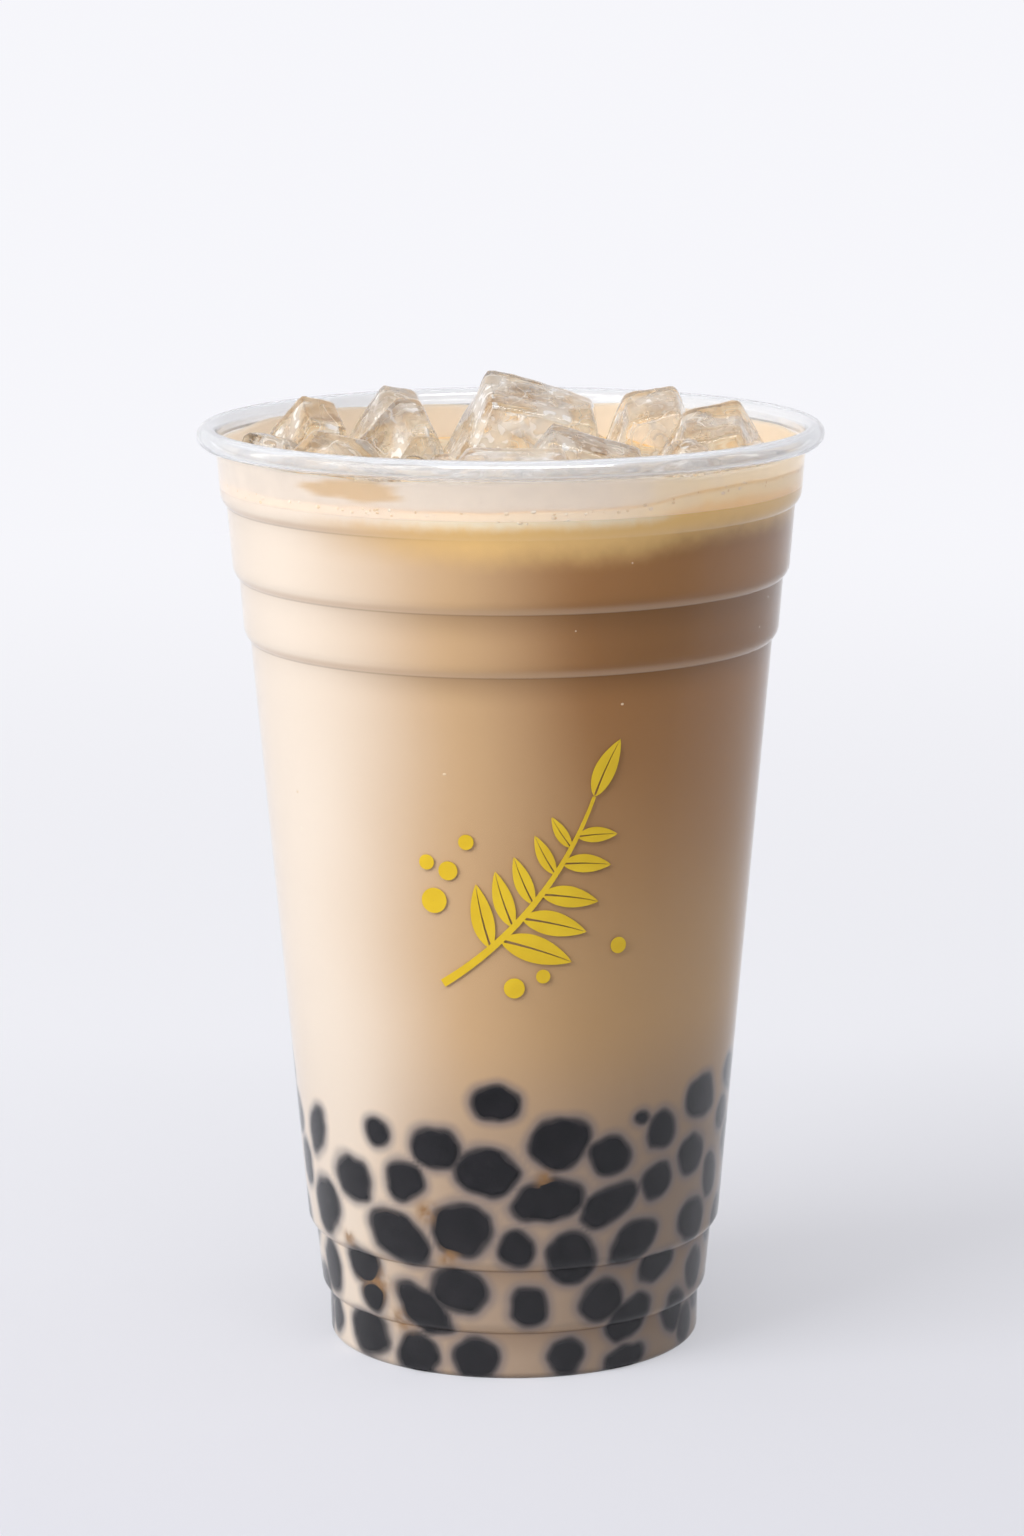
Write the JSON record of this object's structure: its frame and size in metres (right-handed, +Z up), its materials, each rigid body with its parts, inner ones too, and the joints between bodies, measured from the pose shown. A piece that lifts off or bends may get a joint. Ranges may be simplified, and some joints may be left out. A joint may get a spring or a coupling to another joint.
{
  "type": "iced milk coffee with tapioca pearls",
  "caption": "Tall clear stepped cold cup with a rolled rim, filled with milk coffee over dark tapioca pearls, clear ice standing out of the top.",
  "frame": {"origin": "middle of the foot, on the surface that the cup stands on", "axes": "+Z up along the cup's axis, printed side towards -Y"},
  "size_m": [0.098, 0.098, 0.1538],
  "materials": {
    "clear_plastic": "clear glossy thin plastic",
    "milk_drink": "smooth milky liquid with fine foam",
    "ice": "clear melting ice",
    "tapioca": "smooth dark chewy pearls",
    "print_ink": "satin printed ink"
  },
  "bodies": {
    "root": {"cup": "clear_plastic", "drink": "milk_drink", "ice_01": "ice", "ice_02": "ice", "ice_03": "ice", "ice_04": "ice", "ice_05": "ice", "ice_06": "ice", "ice_07": "ice", "ice_08": "ice", "ice_09": "ice", "ice_10": "ice", "ice_11": "ice", "ice_12": "ice"}
  },
  "joints": []
}
